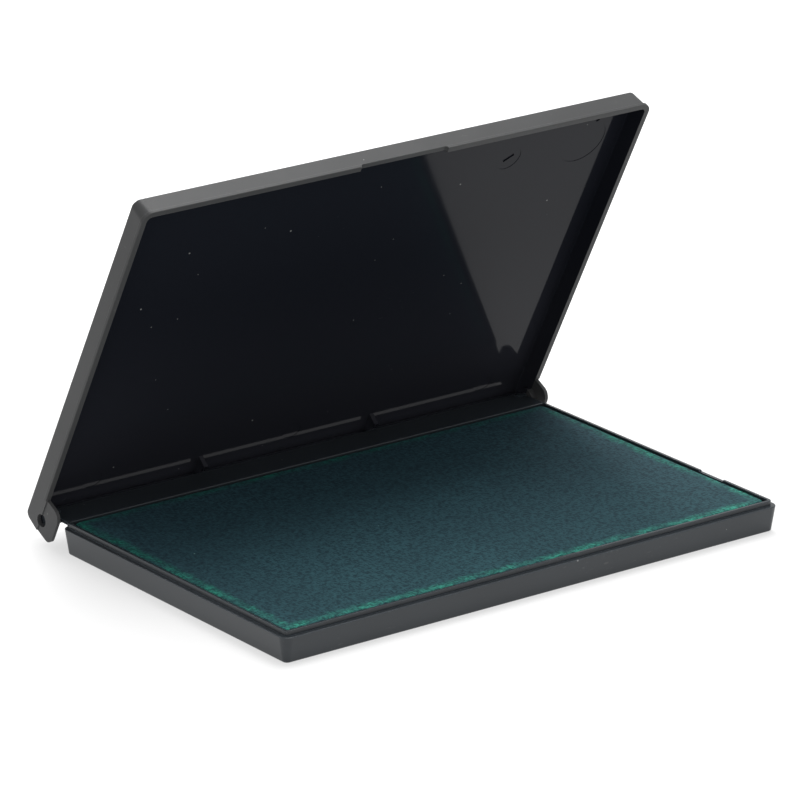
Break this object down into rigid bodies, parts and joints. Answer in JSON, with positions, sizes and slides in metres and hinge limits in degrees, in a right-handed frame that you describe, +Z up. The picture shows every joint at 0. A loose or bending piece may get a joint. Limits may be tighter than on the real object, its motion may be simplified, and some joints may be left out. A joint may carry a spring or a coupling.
{
  "type": "hinged stamp ink pad",
  "caption": "Flat hinged plastic case with a large inked felt pad in its tray and a shallow lid that swings on stub pins and stays where it is put.",
  "frame": {"origin": "middle of the tray's flat underside", "axes": "+X along the hinge, to the right as seen from the front; +Y to the back, where the hinge is; +Z up"},
  "size_m": [0.169, 0.1168, 0.1086],
  "materials": {
    "tray_plastic": "moulded, satin",
    "lid_plastic": "moulded, gloss inside and satin outside",
    "backing_board": "grey-brown fibreboard",
    "inked_felt": "dense felt soaked with dark green ink",
    "inked_cloth": "fine woven cloth, dark blue-green ink, brighter green at its edges"
  },
  "bodies": {
    "base": {"base_tray": "tray_plastic", "backing_board": "backing_board", "felt_core": "inked_felt", "cover_cloth": "inked_cloth"},
    "lid": {"lid_shell": "lid_plastic"}
  },
  "joints": [
    {"name": "lid_hinge", "type": "hinge", "parent": "base", "child": "lid", "pos_m": [0, 0.0587, 0.0072], "axis": [-1, 0, 0], "range_deg": [-62.8, 116.7]}
  ]
}
